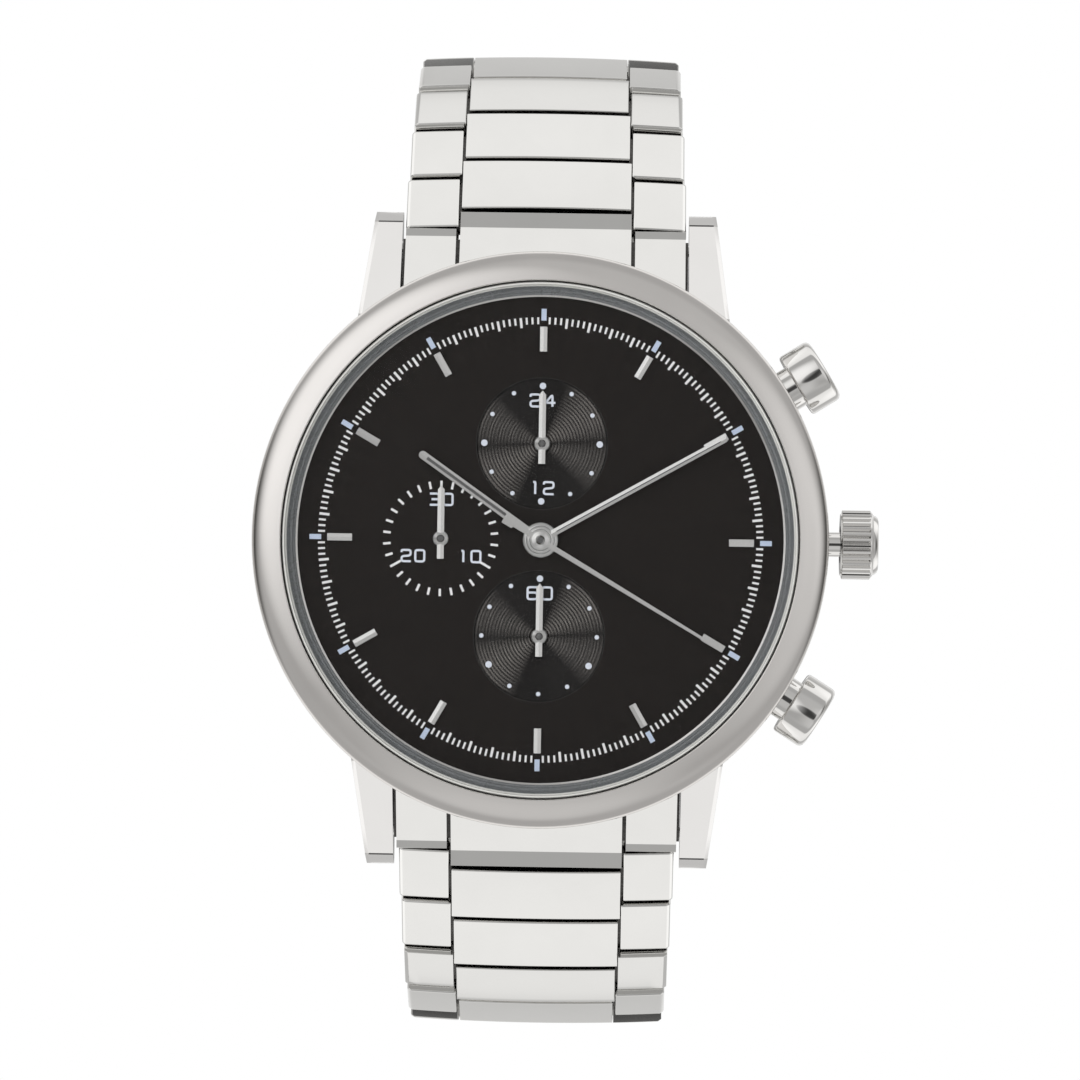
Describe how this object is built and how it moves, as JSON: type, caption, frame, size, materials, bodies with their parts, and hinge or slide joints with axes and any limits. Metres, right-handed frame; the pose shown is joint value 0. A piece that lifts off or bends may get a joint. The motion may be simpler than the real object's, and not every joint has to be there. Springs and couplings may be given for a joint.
{
  "type": "wristwatch",
  "caption": "Round steel chronograph wristwatch with three sub-dials, crown, two pushers, a linked bracelet closed in a loop and a folding clasp.",
  "frame": {"origin": "centre of the case back's flat outer face", "axes": "+Y from the case back towards the wrist, +Z to 12 o'clock, +X to the crown at 3 o'clock; the dial faces -Y"},
  "size_m": [0.0479, 0.0458, 0.0774],
  "materials": {
    "polished_steel": "polished steel",
    "brushed_steel": "fine brushed steel",
    "brass": "machined brass",
    "copper": "wound copper wire",
    "black_lacquer": "satin black dial lacquer",
    "grey_ring": "satin grey",
    "sapphire": "clear flat crystal",
    "black_rubber": "matt",
    "white_plastic": "moulded"
  },
  "bodies": {
    "case": {"mid_case": "brushed_steel", "bezel": "polished_steel", "crystal": "sapphire", "crystal_gasket": "white_plastic", "dial_flange": "grey_ring", "dial": "black_lacquer", "movement_ring": "white_plastic", "main_plate": "brass", "train_bridge": "brass", "coil": "copper", "battery": "polished_steel", "battery_clamp": "brass", "case_back": "brushed_steel", "case_back_gasket": "black_rubber", "crown_tube": "polished_steel", "upper_pusher_tube": "polished_steel", "lower_pusher_tube": "polished_steel", "upper_end_link": "polished_steel", "lower_end_link": "polished_steel", "upper_spring_bar": "brushed_steel", "lower_spring_bar": "brushed_steel", "upper_pusher_spring": "brushed_steel", "lower_pusher_spring": "brushed_steel"},
    "hour_train": {"hour_hand": "polished_steel", "hour_wheel": "brass"},
    "minute_train": {"minute_hand": "polished_steel", "cannon_pinion": "brass"},
    "chrono_train": {"chrono_seconds_hand": "polished_steel", "chrono_seconds_wheel": "brass"},
    "small_seconds_train": {"small_seconds_hand": "polished_steel", "small_seconds_wheel": "brass"},
    "minute_counter_train": {"minute_counter_hand": "polished_steel", "minute_counter_wheel": "brass"},
    "twenty_four_hour_train": {"twenty_four_hour_hand": "polished_steel", "twenty_four_hour_wheel": "brass"},
    "crown_slider": {"crown_gasket": "black_rubber"},
    "crown_knob": {"crown": "polished_steel", "winding_stem": "brushed_steel"},
    "upper_button": {"upper_pusher": "polished_steel"},
    "lower_button": {"lower_pusher": "polished_steel"},
    "upper_row_1": {"upper_link_1": "polished_steel"},
    "upper_row_2": {"upper_link_2": "polished_steel"},
    "upper_row_3": {"upper_link_3": "polished_steel"},
    "upper_row_4": {"upper_link_4": "polished_steel"},
    "upper_row_5": {"upper_link_5": "polished_steel"},
    "upper_row_6": {"upper_link_6": "polished_steel"},
    "upper_row_7": {"upper_link_7": "polished_steel"},
    "upper_row_8": {"upper_link_8": "polished_steel"},
    "lower_row_1": {"lower_link_1": "polished_steel"},
    "lower_row_2": {"lower_link_2": "polished_steel"},
    "lower_row_3": {"lower_link_3": "polished_steel"},
    "lower_row_4": {"lower_link_4": "polished_steel"},
    "lower_row_5": {"lower_link_5": "polished_steel"},
    "lower_row_6": {"lower_link_6": "polished_steel"},
    "lower_row_7": {"lower_link_7": "polished_steel"},
    "lower_row_8": {"lower_link_8": "polished_steel"},
    "lower_row_9": {"lower_link_9": "polished_steel"},
    "clasp_base": {"clasp_base_plate": "brushed_steel"},
    "clasp_middle": {"clasp_blade": "brushed_steel"},
    "clasp_outer": {"clasp_cover": "polished_steel"}
  },
  "joints": [
    {"name": "minute_turn", "type": "hinge", "parent": "case", "child": "minute_train", "pos_m": [0, -0.0074, 0], "axis": [0, 1, 0], "continuous": true},
    {"name": "hour_turn", "type": "hinge", "parent": "case", "child": "hour_train", "pos_m": [0, -0.007, 0], "axis": [0, 1, 0], "continuous": true},
    {"name": "twenty_four_hour_turn", "type": "hinge", "parent": "case", "child": "twenty_four_hour_train", "pos_m": [0, -0.00675, 0.00738], "axis": [0, 1, 0], "continuous": true},
    {"name": "small_seconds_turn", "type": "hinge", "parent": "case", "child": "small_seconds_train", "pos_m": [0, -0.00675, -0.00738], "axis": [0, 1, 0], "continuous": true},
    {"name": "chrono_seconds_turn", "type": "hinge", "parent": "case", "child": "chrono_train", "pos_m": [0, -0.00775, 0], "axis": [0, 1, 0], "continuous": true},
    {"name": "minute_counter_turn", "type": "hinge", "parent": "case", "child": "minute_counter_train", "pos_m": [-0.00765, -0.00675, 0], "axis": [0, 1, 0], "continuous": true},
    {"name": "crown_pull", "type": "slide", "parent": "case", "child": "crown_slider", "axis": [1, 0, 0], "range_m": [0, 0.001]},
    {"name": "crown_turn", "type": "hinge", "parent": "crown_slider", "child": "crown_knob", "pos_m": [0.024, -0.0043, 0], "axis": [1, 0, 0], "continuous": true},
    {"name": "upper_pusher_press", "type": "slide", "parent": "case", "child": "upper_button", "axis": [-0.848, 0, -0.5299], "range_m": [0, 0.0007], "stiffness_N_per_m": 1500, "springref_m": -0.0005, "deforming": ["upper_pusher_spring"]},
    {"name": "lower_pusher_press", "type": "slide", "parent": "case", "child": "lower_button", "axis": [-0.848, 0, 0.5299], "range_m": [0, 0.0007], "stiffness_N_per_m": 1500, "springref_m": -0.0005, "deforming": ["lower_pusher_spring"]},
    {"name": "upper_hinge_1", "type": "hinge", "parent": "case", "child": "upper_row_1", "pos_m": [0, -0.0017, 0.024], "axis": [1, 0, 0], "range_deg": [0, 8]},
    {"name": "upper_hinge_2", "type": "hinge", "parent": "upper_row_1", "child": "upper_row_2", "pos_m": [0, 0.0015, 0.0281], "axis": [1, 0, 0], "range_deg": [0, 3.5]},
    {"name": "upper_hinge_3", "type": "hinge", "parent": "upper_row_2", "child": "upper_row_3", "pos_m": [0, 0.00495, 0.03199], "axis": [1, 0, 0], "range_deg": [0, 13]},
    {"name": "upper_hinge_4", "type": "hinge", "parent": "upper_row_3", "child": "upper_row_4", "pos_m": [0, 0.00918, 0.03501], "axis": [1, 0, 0], "range_deg": [0, 12.5]},
    {"name": "upper_hinge_5", "type": "hinge", "parent": "upper_row_4", "child": "upper_row_5", "pos_m": [0, 0.01397, 0.03704], "axis": [1, 0, 0], "range_deg": [0, 26]},
    {"name": "upper_hinge_6", "type": "hinge", "parent": "upper_row_5", "child": "upper_row_6", "pos_m": [0, 0.01916, 0.03677], "axis": [1, 0, 0], "range_deg": [0, 24]},
    {"name": "upper_hinge_7", "type": "hinge", "parent": "upper_row_6", "child": "upper_row_7", "pos_m": [0, 0.02379, 0.03441], "axis": [1, 0, 0], "range_deg": [0, 19]},
    {"name": "upper_hinge_8", "type": "hinge", "parent": "upper_row_7", "child": "upper_row_8", "pos_m": [0, 0.02741, 0.03067], "axis": [1, 0, 0], "range_deg": [0, 14]},
    {"name": "lower_hinge_1", "type": "hinge", "parent": "case", "child": "lower_row_1", "pos_m": [0, -0.0017, -0.024], "axis": [-1, 0, 0], "range_deg": [0, 8]},
    {"name": "lower_hinge_2", "type": "hinge", "parent": "lower_row_1", "child": "lower_row_2", "pos_m": [0, 0.0015, -0.0281], "axis": [-1, 0, 0], "range_deg": [0, 3.5]},
    {"name": "lower_hinge_3", "type": "hinge", "parent": "lower_row_2", "child": "lower_row_3", "pos_m": [0, 0.00495, -0.03199], "axis": [-1, 0, 0], "range_deg": [0, 13]},
    {"name": "lower_hinge_4", "type": "hinge", "parent": "lower_row_3", "child": "lower_row_4", "pos_m": [0, 0.00918, -0.03501], "axis": [-1, 0, 0], "range_deg": [0, 12.5]},
    {"name": "lower_hinge_5", "type": "hinge", "parent": "lower_row_4", "child": "lower_row_5", "pos_m": [0, 0.01397, -0.03704], "axis": [-1, 0, 0], "range_deg": [0, 26]},
    {"name": "lower_hinge_6", "type": "hinge", "parent": "lower_row_5", "child": "lower_row_6", "pos_m": [0, 0.01916, -0.03677], "axis": [-1, 0, 0], "range_deg": [0, 24]},
    {"name": "lower_hinge_7", "type": "hinge", "parent": "lower_row_6", "child": "lower_row_7", "pos_m": [0, 0.02379, -0.03441], "axis": [-1, 0, 0], "range_deg": [0, 19]},
    {"name": "lower_hinge_8", "type": "hinge", "parent": "lower_row_7", "child": "lower_row_8", "pos_m": [0, 0.02741, -0.03067], "axis": [-1, 0, 0], "range_deg": [0, 14]},
    {"name": "lower_hinge_9", "type": "hinge", "parent": "lower_row_8", "child": "lower_row_9", "pos_m": [0, 0.03001, -0.02617], "axis": [-1, 0, 0], "range_deg": [0, 12]},
    {"name": "clasp_base_hinge", "type": "hinge", "parent": "upper_row_8", "child": "clasp_base", "pos_m": [0, 0.03001, 0.02617], "axis": [1, 0, 0], "range_deg": [0, 12]},
    {"name": "clasp_blade_hinge", "type": "hinge", "parent": "clasp_base", "child": "clasp_middle", "pos_m": [0, 0.034, -0.00947], "axis": [-1, 0, 0], "range_deg": [0, 85]},
    {"name": "clasp_cover_hinge", "type": "hinge", "parent": "clasp_middle", "child": "clasp_outer", "pos_m": [0, 0.03124, 0.0235], "axis": [1, 0, 0], "range_deg": [0, 95]}
  ],
  "couplings": [
    {"joint": "hour_turn", "follows": "minute_turn", "ratio": 0.083333},
    {"joint": "twenty_four_hour_turn", "follows": "minute_turn", "ratio": 0.041667},
    {"joint": "minute_counter_turn", "follows": "chrono_seconds_turn", "ratio": 0.033333}
  ]
}
